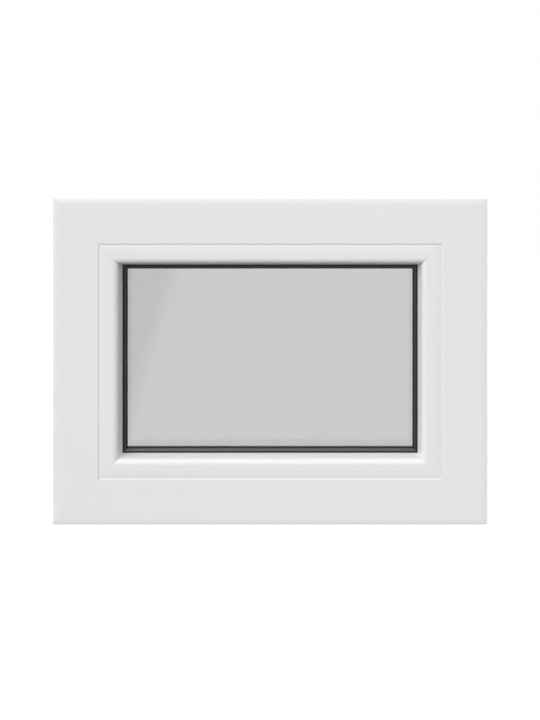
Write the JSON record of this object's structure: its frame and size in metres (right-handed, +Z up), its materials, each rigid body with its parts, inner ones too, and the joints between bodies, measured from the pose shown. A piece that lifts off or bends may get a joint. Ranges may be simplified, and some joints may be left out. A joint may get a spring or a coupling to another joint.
{
  "type": "inward-opening casement window",
  "caption": "White plastic casement window: welded outer frame, glazed sash on side hinges that opens inwards, black rubber gaskets, sealed glazing and a lever handle.",
  "frame": {"origin": "centre of the frame's bottom face, midway through the frame's depth", "axes": "+X to the right seen from outdoors, +Y from outdoors into the room, +Z up"},
  "size_m": [0.6, 0.127, 0.45],
  "materials": {
    "white_pvc": "satin",
    "glass": "clear",
    "black_rubber": "matte",
    "spacer_metal": "satin",
    "white_hardware": "satin",
    "lock_steel": "zinc plated"
  },
  "bodies": {
    "frame": {"frame_top": "white_pvc", "frame_bottom": "white_pvc", "frame_left": "white_pvc", "frame_right": "white_pvc", "frame_seal": "black_rubber", "lock_keep_lower": "lock_steel", "lock_keep_upper": "lock_steel", "hinge_frame_leaf_lower": "white_hardware", "hinge_frame_leaf_upper": "white_hardware", "hinge_pin_lower": "white_hardware", "hinge_pin_upper": "white_hardware"},
    "sash": {"sash_top": "white_pvc", "sash_bottom": "white_pvc", "sash_left": "white_pvc", "sash_right": "white_pvc", "glazing_bead_top": "white_pvc", "glazing_bead_bottom": "white_pvc", "glazing_bead_left": "white_pvc", "glazing_bead_right": "white_pvc", "outer_pane": "glass", "inner_pane": "glass", "glass_spacer": "spacer_metal", "sash_seal": "black_rubber", "outer_gasket": "black_rubber", "inner_gasket": "black_rubber", "lock_strip": "lock_steel", "lock_cam_lower": "lock_steel", "lock_cam_upper": "lock_steel", "hinge_sash_leaf_lower": "white_hardware", "hinge_sash_leaf_upper": "white_hardware", "handle_rose": "white_hardware", "handle_lever": "white_hardware"}
  },
  "joints": [
    {"name": "sash_swing", "type": "hinge", "parent": "frame", "child": "sash", "pos_m": [0.275, 0.044, 0.225], "axis": [0, 0, -1], "range_deg": [0, 90]}
  ]
}
